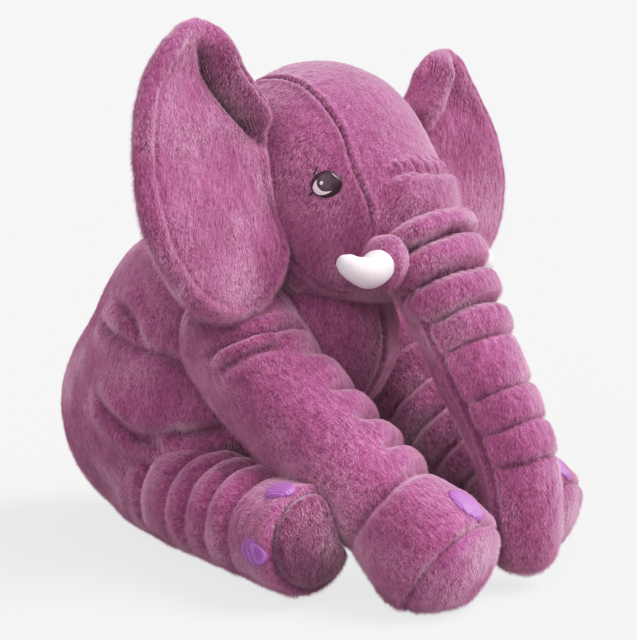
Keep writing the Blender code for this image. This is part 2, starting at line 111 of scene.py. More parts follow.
def spline(rows, n):
    """n points on a smooth curve through the rows, spaced evenly along the first three columns."""
    rows = np.asarray(rows, float)
    ends = np.vstack([2 * rows[0] - rows[1], rows, 2 * rows[-1] - rows[-2]])
    fine = []
    for i in range(len(rows) - 1):
        a, b, c, d = ends[i : i + 4]
        t = np.linspace(0, 1, 40, endpoint=False)[:, None]
        curve = (2 * a - 5 * b + 4 * c - d) * t**2 + (3 * b - a - 3 * c + d) * t**3
        fine.append(0.5 * (2 * b + (c - a) * t + curve))
    fine = np.vstack(fine + [rows[-1:]])
    length = np.r_[0, np.cumsum(np.linalg.norm(np.diff(fine[:, :3], axis=0), axis=1))]
    at = np.linspace(0, length[-1], n)
    return np.stack([np.interp(at, length, fine[:, k]) for k in range(fine.shape[1])], axis=1), at


def to_path(p, path, smooth=24):
    """For each point: its distance to a smooth path, and how far along the path its nearest point is."""
    line, at = spline(path, smooth)
    best = np.full(len(p), 9.0)
    along = np.zeros(len(p))
    for a, b, start, end in zip(line, line[1:], at, at[1:]):
        ab = b - a
        t = np.clip((p - a) @ ab / (ab @ ab), 0, 1)
        d = np.linalg.norm(p - (a + t[:, None] * ab), axis=1)
        near = d < best
        best[near] = d[near]
        along[near] = start + t[near] * (end - start)
    return best, along, at[-1]


def mirrored(p, side):
    """The path on the toy's right side, moved to the side asked for. Paths are given for the left side."""
    return np.asarray(p, float) * V([side, 1, 1])


# ------------------------------------------------------------------ meshes


class Shape:
    """Points and faces that features are pressed into, before they become a mesh."""

    def __init__(self, points, faces):
        self.p = points
        self.f = faces
        # painted shade: how much each point's colour is darkened, from 0 to 1, in the grooves of seams, folds
        # and creases
        self.crease_shade = np.zeros(len(points))
        self.rest = points.copy()

    def normals(self):
        n = np.zeros_like(self.p)
        for f in self.f:
            a, b, c, d = (self.p[f[:, k]] for k in range(4))
            face = np.cross(c - a, d - b)
            for k in range(4):
                np.add.at(n, f[:, k], face)
        return n / np.maximum(np.linalg.norm(n, axis=1), 1e-12)[:, None]

    def push(self, amount, along=None):
        self.p = self.p + (self.normals() if along is None else along) * np.asarray(amount)[:, None]

    def on_skin(self, path, count=30):
        """The path laid on the surface: each of its points moved to the nearest point of the skin."""
        line, _ = spline(path, count)
        laid = np.stack([self.p[np.argmin(((self.p - q) ** 2).sum(axis=1))] for q in line])
        smooth = laid.copy()
        smooth[1:-1] = (laid[:-2] + 2 * laid[1:-1] + laid[2:]) / 4
        return smooth

    def seam(self, path, depth=0.0022, width=0.0026, puff=0.0012, dark=0.8):
        """A sewn line: a groove with pulled-in stitches and raised cloth on both sides; the groove is
        darkened with painted shade.
        """
        d, along, total = to_path(self.p, self.on_skin(path))
        ends = smoothstep(0, SEAM_FADE, along) * smoothstep(0, SEAM_FADE, total - along)
        pull = 1 + STITCH_PULL * np.sin(along / STITCH * math.tau)
        groove = bump(d, width) * pull
        puffs = bump(d - width * 2.4, width * 1.7)
        self.push((-depth * groove + puff * puffs) * ends)
        # painted shade along the groove; dark sets how strong it is
        self.crease_shade = np.maximum(self.crease_shade, bump(d, width * 1.1) * dark * ends)

    def fold(self, path, depth=0.006, width=0.007, puff=0.003, dark=0.7, fade=0.02):
        """A soft fold in the stuffing: wider than a seam, and without stitches; its groove is darkened with
        painted shade.
        """
        d, along, total = to_path(self.p, self.on_skin(path))
        ends = smoothstep(0, fade, along) * smoothstep(0, fade, total - along)
        self.push((-depth * bump(d, width) + puff * bump(d - width * 2, width * 1.5)) * ends)
        # painted shade along the groove of the fold
        self.crease_shade = np.maximum(self.crease_shade, bump(d, width * 0.8) * dark * ends)

    def lumps(self, size, scale, seed=0):
        self.push(size * fractal(self.rest, scale, seed))

    def pile(self, size=0.00045, scale=330, seed=3):
        """Clumps of the brushed pile."""
        stretched = self.rest * V([1, 1, 0.55])
        fine = noise(stretched, scale, seed)
        coarse = noise(stretched, scale * 0.45, seed + 1)
        self.push(size * fine + size * 0.8 * coarse)

    def mesh(self, name, material, keep=None):
        faces = np.vstack(self.f) if isinstance(self.f, list) else self.f
        if keep is not None:
            faces = faces[keep[faces].all(axis=1)]
        used = np.unique(faces)
        index = np.full(len(self.p), -1)
        index[used] = np.arange(len(used))
        faces = index[faces].tolist()
        clean = []
        for f in faces:
            g = [v for k, v in enumerate(f) if v != f[k - 1]]
            if len(g) > 2:
                clean.append(g)
        data = bpy.data.meshes.new(name)
        data.from_pydata(self.p[used].tolist(), [], clean)
        data.shade_smooth()
        # the painted shade amounts are stored on the mesh for the pile material to darken by
        layer = data.attributes.new("crease_shade", "FLOAT", "POINT")
        layer.data.foreach_set("value", self.crease_shade[used].astype(np.float32))
        data.materials.append(material)
        obj = bpy.data.objects.new(name, data)
        bpy.context.scene.collection.objects.link(obj)
        return obj


def quad_sphere(n):
    """Unit directions on an even quad mesh of a sphere, n quads along each cube edge."""
    a = np.tan(np.linspace(-1, 1, n + 1) * math.pi / 4)
    u, v = np.meshgrid(a, a, indexing="ij")
    one = np.ones_like(u)
    grids = [(one, u, v), (-one, v, u), (v, one, u), (u, -one, v), (u, v, one), (v, u, -one)]
    points, faces = [], []
    ids = np.arange((n + 1) ** 2).reshape(n + 1, n + 1)
    quad = np.stack([ids[:-1, :-1], ids[1:, :-1], ids[1:, 1:], ids[:-1, 1:]], axis=-1).reshape(-1, 4)
    for k, g in enumerate(grids):
        points.append(np.stack(g, axis=-1).reshape(-1, 3))
        faces.append(quad + k * (n + 1) ** 2)
    points = np.vstack(points)
    faces = np.vstack(faces)
    points /= np.linalg.norm(points, axis=1)[:, None]
    keys = np.round(points * 1e5).astype(np.int64)
    _, first, where = np.unique(keys, axis=0, return_index=True, return_inverse=True)
    return points[first], where.reshape(-1)[faces]


def blob(centre, parts, n, soft=60):
    """The smooth union of ellipsoids (centre, half sizes, tilt about X in degrees) around a centre."""
    d, faces = quad_sphere(n)
    centre = V(centre, float)
    reach = []
    for c, half, tilt in parts:
        t = math.radians(tilt)
        turn = V([[1, 0, 0], [0, math.cos(t), math.sin(t)], [0, -math.sin(t), math.cos(t)]])
        o = turn @ (centre - V(c)) / V(half)
        e = (d @ turn.T) / V(half)
        a, b, k = (e * e).sum(1), e @ o, o @ o - 1
        root = b * b - a * k
        hit = (-b + np.sqrt(np.maximum(root, 0))) / a
        reach.append(np.where(root > 0, np.maximum(hit, 0), 0))
    reach = np.stack(reach)
    top = reach.max(axis=0)
    r = top + np.log(np.exp((reach - top) * soft).sum(axis=0)) / soft
    shape = Shape(centre + d * r[:, None], [faces])
    return shape


def tube(rows, rings, sides, blunt=(2.0, 2.0), domes=(0.05, 0.05), up=(0, 0, 1), crowd=0.09):
    """A stuffed tube along rows (x, y, z, half width, half height).

    Domes are the rounded lengths of its ends, and crowd is how far the rings bunch up toward them.
    """
    line, full = spline(rows, 600)
    total = full[-1]
    u = np.linspace(0, 1, rings)
    at = (u - crowd * np.sin(2 * math.pi * u)) * total
    line = np.stack([np.interp(at, full, line[:, k]) for k in range(5)], axis=1)
    c, wide, high = line[:, :3], line[:, 3].copy(), line[:, 4].copy()
    for length, power, x in ((domes[0], blunt[0], at), (domes[1], blunt[1], total - at)):
        s = np.clip(1 - x / length, 0, 1)
        k = np.maximum(1 - s**power, 0) ** (1 / power)
        wide *= k
        high *= k
    way = np.gradient(c, axis=0)
    way /= np.linalg.norm(way, axis=1)[:, None]
    side = np.cross(way, V(up, float))
    side /= np.linalg.norm(side, axis=1)[:, None]
    top = np.cross(side, way)
    angle = np.linspace(0, math.tau, sides, endpoint=False)
    p = (
        c[:, None, :]
        + side[:, None, :] * (wide[:, None] * np.cos(angle))[:, :, None]
        + top[:, None, :] * (high[:, None] * np.sin(angle))[:, :, None]
    )
    ids = np.arange(rings * sides).reshape(rings, sides)
    nxt = np.roll(ids, -1, axis=1)
    quads = np.stack([ids[:-1], ids[1:], nxt[1:], nxt[:-1]], axis=-1).reshape(-1, 4)
    shape = Shape(p.reshape(-1, 3), [quads])
    shape.s = np.repeat(at, sides)
    shape.angle = np.tile(angle, rings)
    shape.total = total
    shape.grid = (rings, sides)
    shape.frame = (c, side, top, at)
    return shape


# ------------------------------------------------------------------ materials


def srgb(r, g, b):
    """A colour as the eye names it, from 0 to 255, as the linear one that shaders take."""
    shares = [c / 255 for c in (r, g, b)]
    return tuple(c / 12.92 if c <= 0.04045 else ((c + 0.055) / 1.055) ** 2.4 for c in shares) + (1,)


class Nodes:
    def __init__(self, name):
        self.material = bpy.data.materials.new(name)
        self.material.use_nodes = True
        self.tree = self.material.node_tree
        self.shader = self.tree.nodes["Principled BSDF"]
        self.place = self.add("ShaderNodeTexCoord").outputs["Object"]

    def add(self, kind, **settings):
        node = self.tree.nodes.new(kind)
        for key, value in settings.items():
            if hasattr(node, key):
                setattr(node, key, value)
            else:
                node.inputs[key.replace("_", " ")].default_value = value
        return node

    def link(self, a, b):
        self.tree.links.new(a, b)

    def finish(self, rough, specular, sheen, sheen_rough):
        """The numbers that are the same all over the surface."""
        values = {"Roughness": rough, "Specular IOR Level": specular,
                  "Sheen Weight": sheen, "Sheen Roughness": sheen_rough}
        for key, value in values.items():
            self.shader.inputs[key].default_value = value

    def scaled(self, scale, turn=0.0):
        """Object coordinates, turned about X by degrees and then scaled."""
        turned = self.add("ShaderNodeMapping")
        turned.inputs["Rotation"].default_value = (math.radians(turn), 0, 0)
        self.link(self.place, turned.inputs["Vector"])
        node = self.add("ShaderNodeMapping")
        node.inputs["Scale"].default_value = scale
        self.link(turned.outputs["Vector"], node.inputs["Vector"])
        return node.outputs["Vector"]

    def noise(self, scale, stretch=(1, 1, 1), detail=2.0, rough=0.5, turn=0.0, swirl=0.0):
        node = self.add("ShaderNodeTexNoise", Scale=scale, Detail=detail, Roughness=rough, Distortion=swirl)
        self.link(self.scaled(stretch, turn), node.inputs["Vector"])
        return node.outputs["Fac"]

    def ramp(self, value, stops):
        node = self.add("ShaderNodeValToRGB")
        elements = node.color_ramp.elements
        while len(elements) < len(stops):
            elements.new(0.5)
        for e, (at, colour) in zip(elements, stops):
            e.position = at
            e.color = colour
        self.link(value, node.inputs["Fac"])
        return node.outputs["Color"]

    def mix(self, factor, a, b, blend="MIX"):
        node = self.add("ShaderNodeMix", data_type="RGBA", blend_type=blend)
        for socket, value in ((node.inputs[0], factor), (node.inputs[6], a), (node.inputs[7], b)):
            if hasattr(value, "is_output"):
                self.link(value, socket)
            else:
                socket.default_value = value
        return node.outputs[2]

    def math(self, operation, a, b=0.0):
        node = self.add("ShaderNodeMath", operation=operation)
        for socket, value in zip(node.inputs, (a, b)):
            if hasattr(value, "is_output"):
                self.link(value, socket)
            else:
                socket.default_value = value
        return node.outputs[0]

    def bump(self, height, strength, distance):
        node = self.add("ShaderNodeBump", Strength=strength, Distance=distance)
        self.link(height, node.inputs["Height"])
        return node.outputs["Normal"]


def plush(name, base, deep, light, turn=0.0, sheen=0.9):
    """Short brushed pile: fine strokes along the lie of the pile, clumps, broad mottling, and painted shade
    darkening the creases.
    """
    n = Nodes(name)
    strokes = n.noise(620, (1, 1, 0.30), 2.0, 0.6, turn, 0.4)
    clumps = n.noise(210, (1, 1, 0.45), 2.0, 0.6, turn, 0.8)
    broad = n.noise(20, (1, 1, 1), 2.0)
    tone = n.math("ADD", n.math("MULTIPLY", strokes, 0.62), n.math("MULTIPLY", clumps, 0.38))
    colour = n.ramp(tone, ((0.30, deep), (0.50, base), (0.70, light)))
    shade = n.ramp(broad, ((0.36, (0.82, 0.80, 0.82, 1)), (0.62, (1.0, 1.0, 1.0, 1))))
    colour = n.mix(1.0, colour, shade, "MULTIPLY")
    # painted shade: the colour is mixed toward a darker plum by the shade amount stored on the mesh
    crease_shade = n.add("ShaderNodeAttribute", attribute_name="crease_shade").outputs["Fac"]
    dark = tuple(c * 0.42 for c in deep[:3]) + (1,)
    colour = n.mix(crease_shade, colour, dark)
    n.link(colour, n.shader.inputs["Base Color"])
    n.link(n.bump(tone, 0.8, 0.0022), n.shader.inputs["Normal"])
    n.finish(0.9, 0.1, sheen, 0.55)
    n.shader.inputs["Sheen Tint"].default_value = srgb(255, 222, 238)
    return n.material


def fibre(name, base, deep, light):
    """The pile's own fibres: each clump a slightly different mauve, with broad pale patches of painted sheen.
    """
    n = Nodes(name)
    clumps = n.noise(260, (1, 1, 0.5), 2.0, 0.6, 20, 0.8)
    colour = n.ramp(clumps, ((0.30, deep), (0.50, base), (0.70, light)))
    # painted sheen: broad pale patches mixed into the fibre colour stand in for light catching the pile
    sheen_patches = n.ramp(n.noise(22, (1, 1, 0.8), 1.5), ((0.42, (0, 0, 0, 1)), (0.64, (0.85, 0.85, 0.85, 1))))
    n.link(n.mix(sheen_patches, colour, srgb(236, 196, 216)), n.shader.inputs["Base Color"])
    n.finish(0.5, 1.0, 1.0, 0.6)
    n.shader.inputs["Sheen Tint"].default_value = srgb(255, 222, 238)
    return n.material


def smooth_cloth(name, base, light, scale=900, sheen=0.3):
    n = Nodes(name)
    grain = n.noise(scale, (1, 1, 1), 3.0, 0.6)
    n.link(n.ramp(grain, ((0.3, base), (0.7, light))), n.shader.inputs["Base Color"])
    n.link(n.bump(grain, 0.3, 0.0005), n.shader.inputs["Normal"])
    n.finish(0.75, 0.2, sheen, 0.4)
    return n.material


def thread(name, base, light, across=(1, 0, 0), pitch=1400):
    """Satin stitch or a ribbed ribbon: parallel threads."""
    n = Nodes(name)
    wave = n.add("ShaderNodeTexWave", Scale=pitch / 20, Distortion=1.2)
    wave.inputs["Detail Scale"].default_value = 2.0
    n.link(n.scaled(tuple(across)), wave.inputs["Vector"])
    ridges = wave.outputs["Fac"]
    n.link(n.ramp(ridges, ((0.1, base), (0.9, light))), n.shader.inputs["Base Color"])
    n.link(n.bump(ridges, 0.5, 0.0006), n.shader.inputs["Normal"])
    n.finish(0.45, 0.4, 0.25, 0.3)
    return n.material


MAUVE, PLUM, PINK = srgb(154, 76, 124), srgb(106, 40, 82), srgb(192, 122, 162)
PLUSH = plush("plush_pile", MAUVE, PLUM, PINK, 8)
PLUSH_LEG = plush("plush_pile_leg", MAUVE, PLUM, PINK, 56)
PLUSH_HIND = plush("plush_pile_hind", MAUVE, PLUM, PINK, 85)
PLUSH_TRUNK = plush("plush_pile_trunk", MAUVE, PLUM, PINK, 25)
PLUSH_HEAD = plush("plush_pile_head", srgb(150, 76, 122), PLUM, srgb(188, 120, 158), -30)
SOLE = plush("plush_sole", srgb(152, 74, 126), srgb(106, 42, 84), srgb(188, 112, 160), 20)
# painted shade: the hind soles are darker copies of the sole colours, standing in for the shade under the
# hind feet
SOLE_HIND_SHADED = plush("plush_sole_hind_shaded", srgb(112, 44, 84), srgb(78, 24, 54), srgb(140, 68, 108), 20)
FIBRE = fibre("pile_fibre", srgb(186, 102, 152), srgb(152, 70, 120), srgb(214, 146, 184))
# painted shade: darker fibres for the hind soles
FIBRE_SHADED = fibre("pile_fibre_shaded", srgb(116, 46, 90), srgb(94, 32, 70), srgb(142, 68, 112))
VELOUR = smooth_cloth("tusk_velour", srgb(216, 202, 209), srgb(232, 221, 226))
RIBBON = thread("toe_ribbon", srgb(158, 96, 166), srgb(178, 120, 186), (0.3, 1, 0.5), 9000)
THREAD_BROWN = thread("eye_brown", srgb(66, 42, 56), srgb(92, 66, 80), (0.3, 1, 0.4))
THREAD_BLACK = thread("eye_dark", srgb(44, 22, 34), srgb(66, 40, 54), (0.3, 1, 0.4))
THREAD_WHITE = thread("eye_white", srgb(206, 184, 198), srgb(226, 208, 218), (0.3, 1, 0.4))


# ------------------------------------------------------------------ pieces


def settle(piece, body, nodes):
    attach(piece, body)
    if nodes:
        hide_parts(*nodes)
    return piece


def make_torso():
    parts = [
        ((0, 0.094, 0.112), (0.112, 0.150, 0.120), 0),
        ((0, 0.075, 0.190), (0.092, 0.118, 0.098), 12),
        ((0, 0.000, 0.180), (0.080, 0.082, 0.082), 0),
        ((0, -0.035, 0.190), (0.066, 0.064, 0.064), 0),
    ]
    s = blob((0, 0.06, 0.14), parts, 128, 70)
    s.p[:, 2] = np.where(s.p[:, 2] < 0.012, 0.0006 + 0.0114 * np.exp((s.p[:, 2] - 0.012) / 0.0114), s.p[:, 2])
    s.rest = s.p.copy()
    s.lumps(0.0035, 18, 5)
    flank = [(0.090, 0.160, 0.205), (0.093, 0.125, 0.190), (0.100, 0.082, 0.179),
             (0.099, 0.048, 0.172), (0.094, 0.018, 0.161), (0.088, -0.001, 0.143)]
    loin = [(0.090, 0.130, 0.225), (0.093, 0.100, 0.203), (0.100, 0.070, 0.180)]
    hip = [(0.106, 0.135, 0.135), (0.110, 0.119, 0.126), (0.115, 0.096, 0.111),
           (0.109, 0.073, 0.100), (0.103, 0.043, 0.093)]
    groin = [(0.114, 0.085, 0.107), (0.107, 0.047, 0.107), (0.096, 0.017, 0.112),
             (0.088, 0.000, 0.116), (0.083, -0.010, 0.124)]
    for side in SIDES.values():
        s.fold(mirrored(groin, side), 0.007, 0.006, 0.004, 0.6)
        s.fold(mirrored(hip, side), 0.006, 0.006, 0.004, 0.6)
        s.fold(mirrored(flank, side), 0.0045, 0.0055, 0.0035, 0.45)
        s.fold(mirrored(loin, side), 0.004, 0.005, 0.003, 0.4)
    spine = [(0.246, 0.09), (0.235, 0.18), (0.17, 0.262), (0.09, 0.288), (0.02, 0.27)]
    chest = [(-0.105, 0.22), (-0.095, 0.17), (-0.06, 0.12), (-0.02, 0.06), (0.03, 0.02)]
    for path in (spine, chest):
        s.seam([(0, y, z) for y, z in path], dark=0.6)
    s.pile()
    torso = s.mesh("torso_skin", PLUSH)
    settle(torso, "torso", ["torso_back_panel", "torso_belly_panel", "torso_stuffing"])


def make_head():
    parts = [
        ((0, -0.036, 0.316), (0.098, 0.100, 0.107), 0),
        ((0, -0.088, 0.292), (0.076, 0.066, 0.070), 0),
        ((0, -0.115, 0.290), (0.044, 0.046, 0.052), 0),
        ((0, -0.132, 0.309), (0.042, 0.030, 0.021), 0),
    ]
    s = blob((0, -0.045, 0.31), parts, 128, 130)
    s.lumps(0.0018, 16, 9)
    gusset = [(0.048, 0.020, 0.408), (0.050, -0.022, 0.406), (0.058, -0.062, 0.398), (0.060, -0.097, 0.369),
              (0.062, -0.109, 0.351), (0.064, -0.117, 0.333), (0.064, -0.124, 0.318), (0.062, -0.131, 0.306),
              (0.059, -0.133, 0.281)]
    jaw = [(0.094, -0.045, 0.292), (0.087, -0.064, 0.274), (0.078, -0.070, 0.257), (0.067, -0.077, 0.243),
           (0.054, -0.087, 0.233), (0.040, -0.100, 0.229)]
    for side in SIDES.values():
        s.seam(mirrored(gusset, side), 0.0018, 0.0016, 0.0012, dark=0.55)
        s.seam(mirrored(jaw, side), 0.0022, 0.0018, 0.0014, dark=0.6)
    brow = [(-0.050, -0.133, 0.323), (-0.032, -0.147, 0.329), (0, -0.157, 0.329),
            (0.032, -0.147, 0.329), (0.050, -0.133, 0.323)]
    s.fold(brow, 0.0020, 0.0042, 0.0030, 0.24)
    for k in range(9):
        x = -0.040 + 0.010 * k
        lean = 0.18 * x
        end = (x + lean, -0.142, 0.343 + 0.003 * (k % 2))
        s.fold([(x, -0.155, 0.322), (x + lean * 0.5, -0.150, 0.332), end],
               0.0013, 0.0016, 0.0007, 0.22, 0.006)
    s.pile()
    head = s.mesh("head_skin", PLUSH_HEAD)
    settle(head, "head", ["forehead_panel", "chin_panel", "head_back_panel", "head_stuffing",
                                   "cheek_panel_right", "cheek_panel_left"])
    return s


def make_trunk():
    rows = [
        (0, -0.098, 0.302, 0.040, 0.040),
        (0, -0.128, 0.289, 0.046, 0.041),
        (0, -0.146, 0.262, 0.044, 0.040),
        (0, -0.163, 0.234, 0.0405, 0.0385),
        (0, -0.179, 0.205, 0.037, 0.037),
        (0, -0.195, 0.172, 0.035, 0.035),
        (0, -0.212, 0.143, 0.0335, 0.0335),
        (0, -0.226, 0.115, 0.0325, 0.032),
        (0, -0.235, 0.085, 0.032, 0.0315),
        (0, -0.238, 0.058, 0.031, 0.0305),
        (0, -0.238, 0.036, 0.0295, 0.0285),
        (0, -0.236, 0.012, 0.027, 0.027),
    ]
    s = tube(rows, 300, 180, (2.0, 2.4), (0.03, 0.034), (0, -1, 0))
    at = s.s
    c, across, top, ring_at = s.frame
    front_z = c[:, 2] + top[:, 2] * 0.036
    heights = (0.302, 0.280, 0.255, 0.228, 0.202, 0.166, 0.140, 0.108)
    creases = [float(np.interp(-z, -front_z, ring_at)) for z in heights]
    facing = np.sin(s.angle)  # 1 on the front of the trunk, -1 on its back
    near_head = at < creases[3] - 0.008  # the first rolls reach further round the trunk
    strength = np.where(near_head, smoothstep(-0.65, -0.25, facing), smoothstep(-0.16, 0.02, facing))
    wiggle = at + 0.0016 * noise(s.rest, 35, 4)
    lift = np.zeros(len(at))
    # painted shade along the bottoms of the trunk's creases; tone sets how dark
    dark = np.zeros(len(at))
    for k, place in enumerate(creases):
        gathered = k < 4
        deep, wide, line, tone = (0.0080, 0.0042, 0.0024, 0.75) if gathered else (0.0036, 0.0024, 0.0014, 0.7)
        lift -= deep * bump(wiggle - place, wide)
        dark = np.maximum(dark, bump(wiggle - place, line) * tone)
    for k, (a, b) in enumerate(zip(creases, creases[1:])):
        u = np.clip((wiggle - a) / (b - a), 0, 1)
        lift += (4 * u * (1 - u)) ** 0.7 * (0.0066, 0.0062, 0.0050, 0.0034, 0.0022, 0.0018, 0.0016)[k]
    s.push(lift * strength)
    s.crease_shade = np.maximum(s.crease_shade, dark * strength)
    gathers = np.maximum(0, np.sin(s.angle * 26 + 3 * noise(s.rest, 30, 6)))
    near_crease = sum(bump(wiggle - place - 0.004, 0.006) for place in creases[:4])
    s.push(-0.0007 * gathers * near_crease * strength)
    s.lumps(0.0012, 30, 21)
    span = ring_at / s.total
    wide = np.interp(span, np.linspace(0, 1, len(rows)), [r[3] for r in rows])
    high = np.interp(span, np.linspace(0, 1, len(rows)), [r[4] for r in rows])
    inside = (ring_at > 0.06) & (ring_at < s.total - 0.012)
    pick = np.linspace(0, inside.sum() - 1, 9).astype(int)
    for side in SIDES.values():
        path = (c + across * wide[:, None] * side - top * (high * 0.12)[:, None])[inside][pick]
        s.seam(path, 0.0022, 0.0022, 0.0022, dark=0.45)
    s.pile()
    cut = creases[3]
    upper = s.mesh("trunk_upper_skin", PLUSH_TRUNK, keep=at <= cut + 0.0015)
    lower = s.mesh("trunk_lower_skin", PLUSH_TRUNK, keep=at >= cut - 0.0015)
    for piece, part in ((upper, "trunk_upper"), (lower, "trunk_lower")):
        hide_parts(f"{part}_front_panel", f"{part}_back_panel", f"{part}_stuffing")
    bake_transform(upper)
    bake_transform(lower)


FRONT_ROWS = [
    (0.066, 0.024, 0.218, 0.050, 0.050),
    (0.076, -0.004, 0.200, 0.052, 0.052),
    (0.086, -0.042, 0.168, 0.050, 0.050),
    (0.088, -0.085, 0.130, 0.0465, 0.0465),
    (0.088, -0.120, 0.104, 0.0455, 0.0455),
    (0.088, -0.150, 0.082, 0.0435, 0.0435),
    (0.088, -0.172, 0.067, 0.0430, 0.0430),
    (0.088, -0.192, 0.054, 0.0475, 0.0470),
    (0.088, -0.210, 0.042, 0.0510, 0.0500),
    (0.088, -0.228, 0.030, 0.0500, 0.0480),
    (0.088, -0.246, 0.018, 0.0470, 0.0440),
]
HIND_ROWS = [
    (0.026, 0.150, 0.050, 0.048, 0.047),
    (0.042, 0.120, 0.050, 0.0465, 0.0455),
    (0.060, 0.090, 0.0500, 0.0420, 0.042),
    (0.081, 0.045, 0.0515, 0.0420, 0.0415),
    (0.100, 0.000, 0.0515, 0.0420, 0.0415),
    (0.118, -0.050, 0.0515, 0.0420, 0.0415),
    (0.131, -0.090, 0.0505, 0.0420, 0.0415),
    (0.141, -0.122, 0.0500, 0.0425, 0.0420),
    (0.147, -0.150, 0.0510, 0.0420, 0.0420),
]


def make_leg(kind, side_name, front_skin):
    side = SIDES[side_name]
    front = kind == "front"
    rows = [(x * side, *rest) for x, *rest in (FRONT_ROWS if front else HIND_ROWS)]
    if front and side > 0:
        # the left front leg is drawn back a little
        rows = [(x, y * 0.91, z, w, h) for x, y, z, w, h in rows]
    s = tube(rows, 260, 200, (2.0, 2.3), (0.05, 0.040 if front else 0.030), (0, 0, 1), 0.15)
    at = s.s
    c, _, _, ring_at = s.frame
    lift = np.zeros(len(at))
    # painted shade along the bottoms of the leg's creases
    dark = np.zeros(len(at))
    outer, over = np.cos(s.angle) * -side, np.sin(s.angle)
    if front:
        places = ((-0.062, 0.5, 0), (-0.094, 0.8, 0), (-0.120, 1.0, 0), (-0.146, 1.0, 0), (-0.171, 1.0, 1))
        mask = smoothstep(0.25, 0.80, over * 0.62 - outer * 0.78)
        scale = 0.91 if side > 0 else 1.0
        places = [(y * scale, size, all_round) for y, size, all_round in places]
    else:
        places = ((0.085, 0.7, 0), (0.050, 1.0, 0), (0.004, 1.0, 0),
                  (-0.026, 1.0, 0), (-0.056, 1.0, 0), (-0.085, 0.55, 1))
        mask = smoothstep(-0.75, 0.2, over * 0.8 + outer * 0.45)
    creases = [(float(np.interp(-y, -c[:, 1], ring_at)), size, all_round) for y, size, all_round in places]
    wiggle = at + 0.0025 * noise(s.rest, 32, 2 if front else 7)
    for place, size, all_round in creases:
        m = smoothstep(-1.1, -0.1, over) if all_round else mask
        deep = 0.0085 if front and not all_round else 0.0070
        lift -= deep * size * bump(wiggle - place, 0.0052) * m
        dark = np.maximum(dark, 0.6 * size * bump(wiggle - place, 0.0026) * m)
    for (a, _, _), (b, _, _) in zip(creases, creases[1:]):
        u = np.clip((wiggle - a) / (b - a), 0, 1)
        lift += (4 * u * (1 - u)) ** 0.7 * 0.0050 * mask
    s.push(lift)
    s.crease_shade = np.maximum(s.crease_shade, np.clip(dark, 0, 0.9))
    s.lumps(0.0018, 24, 31 if front else 37)
    if front:
        for path in (
            [(0.136, -0.024, 0.179), (0.132, -0.052, 0.196), (0.108, -0.074, 0.206), (0.070, -0.078, 0.205)],
            [(0.137, -0.035, 0.168), (0.128, -0.060, 0.185), (0.105, -0.080, 0.192)],
            [(0.118, 0.010, 0.215), (0.124, -0.020, 0.212), (0.110, -0.050, 0.218)],
        ):
            s.fold(mirrored(path, side), 0.0045, 0.0045, 0.0030, 0.5, 0.012)
    sole_at = s.total - (0.023 if front else 0.014)
    ring = bump(at - sole_at, 0.0020)
    s.push(-0.0030 * ring + 0.0016 * bump(np.abs(at - sole_at) - 0.006, 0.0035))
    # painted shade in the groove where the sole is sewn on
    s.crease_shade = np.maximum(s.crease_shade, 0.4 * ring)
    if not front:
        # the foot rests against the front leg beside it, and gives way
        d, along, _ = to_path(s.p, [r[:3] for r in front_skin])
        line, path_at = spline([r[:3] for r in front_skin], 200)
        near = np.stack([np.interp(along, path_at, line[:, k]) for k in range(3)], axis=1)
        room = 0.0475
        inside = d < room
        away = (s.p - near)[inside] / np.maximum(d[inside], 1e-6)[:, None]
        s.p[inside] = near[inside] + away * room
    lowest = 0.010 if front else 0.006
    low = s.p[:, 2] < lowest
    s.p[low, 2] = 0.001 + (lowest - 0.001) * np.exp((s.p[low, 2] - lowest) / (lowest - 0.001))
    s.pile()
    name = f"{kind}_leg_{side_name}"
    sleeve = s.mesh(f"{name}_skin", PLUSH_LEG if front else PLUSH_HIND, keep=at <= sole_at + 0.0012)
    sole = s.mesh(f"{name}_sole_skin", SOLE if front else SOLE_HIND_SHADED, keep=at >= sole_at - 0.0012)
    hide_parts(f"{name}_sleeve", f"{name}_stuffing")
    settle(sole, name, [f"{name}_sole"])
    if front:
        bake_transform(sleeve)
    else:
        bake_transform(sleeve)
    toes = ((90, 0.0415), (146, 0.0415)) if front else ((68, 0.030), (352, 0.030))
    for toe, (angle, back) in enumerate(toes, 1):
        turn = math.radians(angle if side < 0 else 180 - angle)
        make_toe(s, f"{name}_toe_{toe}", name, turn, s.total - back, front)
    return rows


def sample(s, angle, at):
    """Points of a finished tube at given angles and distances along it, and the normals there."""
    rings, sides = s.grid
    ring_at = s.frame[3]
    grid = s.p.reshape(rings, sides, 3)
    normal = s.normals().reshape(rings, sides, 3)
    fi = np.interp(at, ring_at, np.arange(rings))
    fj = (angle / math.tau * sides) % sides
    i, j = np.floor(fi).astype(int), np.floor(fj).astype(int)
    i = np.clip(i, 0, rings - 2)
    a, b = (fi - i)[:, None], (fj - j)[:, None]
    out = []
    for g in (grid, normal):
        j1 = (j + 1) % sides
        here = g[i, j % sides] * (1 - b) + g[i, j1] * b
        beyond = g[i + 1, j % sides] * (1 - b) + g[i + 1, j1] * b
        out.append(here * (1 - a) + beyond * a)
    return out


